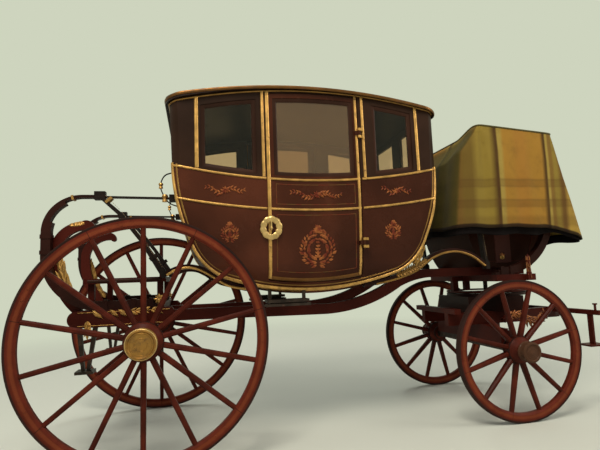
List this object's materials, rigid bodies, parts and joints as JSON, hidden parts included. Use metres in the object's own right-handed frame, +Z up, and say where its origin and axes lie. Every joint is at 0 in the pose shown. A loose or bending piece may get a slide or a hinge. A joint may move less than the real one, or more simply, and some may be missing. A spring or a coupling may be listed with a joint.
{
  "type": "horse-drawn carriage",
  "caption": "Historic state coach: a boat-bottomed glazed body slung on leather braces from C-springs, with opening doors, spoked wheels and a turning fore-carriage.",
  "frame": {"origin": "on the floor under the middle of the coach's overall length and width", "axes": "+X points to the front, +Y to the coach's left side, +Z up; the floor is z = 0"},
  "size_m": [4.2498, 1.745, 2.4483],
  "materials": {
    "tyre_iron": "worn dark iron hoop",
    "wheel_paint": "brick red paint over ash and oak",
    "cap_brass": "aged brass",
    "axle_iron": "dark painted iron",
    "carriage_paint": "wine red paint over timber",
    "spring_paint": "dark wine red paint over steel",
    "body_paint": "deep maroon varnished coach paint",
    "roof_leather": "black japanned leather",
    "window_glass": "clear plate glass",
    "seat_cloth": "woven upholstery",
    "strap_leather": "stitched black brown leather",
    "boot_paint": "varnished maroon paint",
    "hammer_cloth": "heavy ochre cloth with darker stripes"
  },
  "bodies": {
    "coach": {"hind_axle": "axle_iron", "king_pin": "axle_iron", "hind_axle_bed": "carriage_paint", "hind_frame": "carriage_paint", "hind_platform": "carriage_paint", "hind_scrolls": "spring_paint", "hind_steps": "spring_paint", "hind_springs": "spring_paint", "perches": "carriage_paint", "fore_transom": "carriage_paint", "front_springs": "spring_paint", "body_lower": "body_paint", "body_upper": "body_paint", "side_glass": "window_glass", "roof": "roof_leather", "seats": "body_paint", "seat_cushions": "seat_cloth", "door_hinges": "cap_brass", "body_loops": "spring_paint", "folding_steps": "spring_paint", "braces": "strap_leather", "check_straps": "strap_leather", "boot": "boot_paint", "box_seat": "carriage_paint", "hammercloth": "hammer_cloth"},
    "fore_carriage": {"fore_axle": "axle_iron", "fore_axle_bed": "carriage_paint", "futchells": "carriage_paint", "turntable": "carriage_paint", "splinter_bar": "carriage_paint", "pole_jaw": "carriage_paint"},
    "right_door": {"door_right": "body_paint", "door_glass_right": "window_glass"},
    "left_door": {"door_left": "body_paint", "door_glass_left": "window_glass"},
    "rear_right_wheel": {"rear_right_tyre": "tyre_iron", "rear_right_felloes": "wheel_paint", "rear_right_spokes": "wheel_paint", "rear_right_cap": "cap_brass"},
    "rear_left_wheel": {"rear_left_tyre": "tyre_iron", "rear_left_felloes": "wheel_paint", "rear_left_spokes": "wheel_paint", "rear_left_cap": "cap_brass"},
    "front_right_wheel": {"front_right_tyre": "tyre_iron", "front_right_felloes": "wheel_paint", "front_right_spokes": "wheel_paint", "front_right_cap": "cap_brass"},
    "front_left_wheel": {"front_left_tyre": "tyre_iron", "front_left_felloes": "wheel_paint", "front_left_spokes": "wheel_paint", "front_left_cap": "cap_brass"}
  },
  "joints": [
    {"name": "fore_carriage_turn", "type": "hinge", "parent": "coach", "child": "fore_carriage", "pos_m": [1.425, 0, 0.9], "axis": [0, 0, 1], "range_deg": [-25, 25]},
    {"name": "rear_right_roll", "type": "hinge", "parent": "coach", "child": "rear_right_wheel", "pos_m": [-1.375, -0.7375, 0.75], "axis": [0, 1, 0], "continuous": true},
    {"name": "rear_left_roll", "type": "hinge", "parent": "coach", "child": "rear_left_wheel", "pos_m": [-1.375, 0.7375, 0.75], "axis": [0, 1, 0], "continuous": true},
    {"name": "front_right_roll", "type": "hinge", "parent": "fore_carriage", "child": "front_right_wheel", "pos_m": [1.245, -0.635, 0.51], "axis": [0, 1, 0], "continuous": true},
    {"name": "front_left_roll", "type": "hinge", "parent": "fore_carriage", "child": "front_left_wheel", "pos_m": [1.245, 0.635, 0.51], "axis": [0, 1, 0], "continuous": true},
    {"name": "right_door_swing", "type": "hinge", "parent": "coach", "child": "right_door", "pos_m": [0.0775, -0.657, 1.7], "axis": [0, 0, 1], "range_deg": [0, 75]},
    {"name": "left_door_swing", "type": "hinge", "parent": "coach", "child": "left_door", "pos_m": [0.0775, 0.657, 1.7], "axis": [0, 0, -1], "range_deg": [0, 75]}
  ]
}
